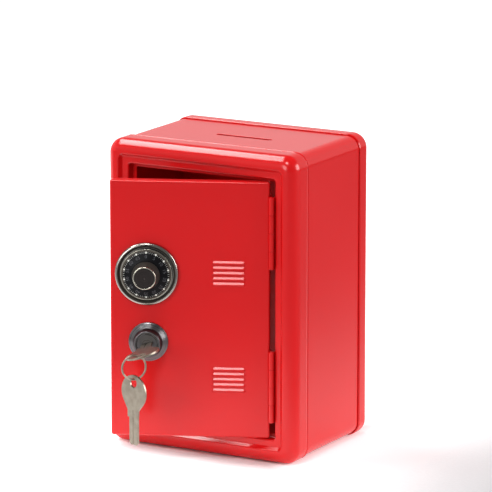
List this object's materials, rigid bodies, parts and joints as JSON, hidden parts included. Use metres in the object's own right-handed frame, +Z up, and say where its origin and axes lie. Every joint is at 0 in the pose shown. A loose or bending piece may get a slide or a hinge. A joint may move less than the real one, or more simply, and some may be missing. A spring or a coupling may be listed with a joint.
{
  "type": "toy safe coin bank",
  "caption": "Pressed steel toy safe that holds coins, with a coin slot, a hinged locking door, a turning number dial, a key in its cam lock and a spare key on a wire ring.",
  "frame": {"origin": "on the floor, at the middle of the flat foot under the front frame", "axes": "+X to the right across the front, +Y from the front to the back, +Z up; the door faces -Y and is stored part open"},
  "size_m": [0.123, 0.157, 0.178],
  "materials": {
    "red_enamelled_steel": "gloss stoving enamel",
    "satin_chrome": "satin chrome plate",
    "zinc_plated_steel": "bright zinc plate",
    "black_plastic": "moulded, satin",
    "brushed_aluminium": "brushed, dark anodised",
    "nickel_plated_steel": "nickel plate"
  },
  "bodies": {
    "cabinet": {"front_frame": "red_enamelled_steel", "body_wrap": "red_enamelled_steel", "back_panel": "red_enamelled_steel", "upper_frame_leaf": "red_enamelled_steel", "lower_frame_leaf": "red_enamelled_steel", "upper_hinge_pin": "red_enamelled_steel", "lower_hinge_pin": "red_enamelled_steel"},
    "door": {"door_panel": "red_enamelled_steel", "upper_door_leaf": "red_enamelled_steel", "lower_door_leaf": "red_enamelled_steel", "dial_bezel": "satin_chrome", "bezel_clip": "zinc_plated_steel", "lock_body": "satin_chrome", "lock_washer": "zinc_plated_steel", "lock_nut": "zinc_plated_steel"},
    "dial": {"dial_disc": "black_plastic", "dial_knob": "black_plastic", "knob_cap": "brushed_aluminium", "dial_spindle": "zinc_plated_steel", "dial_washer": "zinc_plated_steel", "dial_push_nut": "zinc_plated_steel"},
    "plug": {"lock_plug": "satin_chrome", "lock_cam": "zinc_plated_steel", "cam_washer": "zinc_plated_steel", "cam_screw": "zinc_plated_steel"},
    "key": {"lock_key": "nickel_plated_steel"},
    "ring": {"key_ring": "nickel_plated_steel"},
    "spare": {"spare_key": "nickel_plated_steel"}
  },
  "joints": [
    {"name": "door_swing", "type": "hinge", "parent": "cabinet", "child": "door", "pos_m": [0.04648, -0.0117, 0], "axis": [0, 0, 1], "range_deg": [-24.3, 95.7]},
    {"name": "dial_turn", "type": "hinge", "parent": "door", "child": "dial", "pos_m": [-0.01834, -0.03904, 0.10895], "axis": [0.4115, -0.9114, 0], "continuous": true},
    {"name": "lock_turn", "type": "hinge", "parent": "door", "child": "plug", "pos_m": [-0.0177, -0.03876, 0.06965], "axis": [0.4115, -0.9114, 0], "range_deg": [0, 73]},
    {"name": "key_slide", "type": "slide", "parent": "plug", "child": "key", "axis": [0.4115, -0.9114, 0], "range_m": [-0.007, 0.02]},
    {"name": "ring_hang", "type": "hinge", "parent": "key", "child": "ring", "pos_m": [-0.00348, -0.07025, 0.06965], "axis": [0.4115, -0.9114, 0], "range_deg": [-73, 0]},
    {"name": "spare_swing", "type": "hinge", "parent": "ring", "child": "spare", "pos_m": [-0.00635, -0.07358, 0.05662], "axis": [0.6521, 0.7581, 0], "range_deg": [-40, 40]}
  ],
  "couplings": [
    {"joint": "ring_hang", "follows": "lock_turn", "ratio": -1}
  ]
}
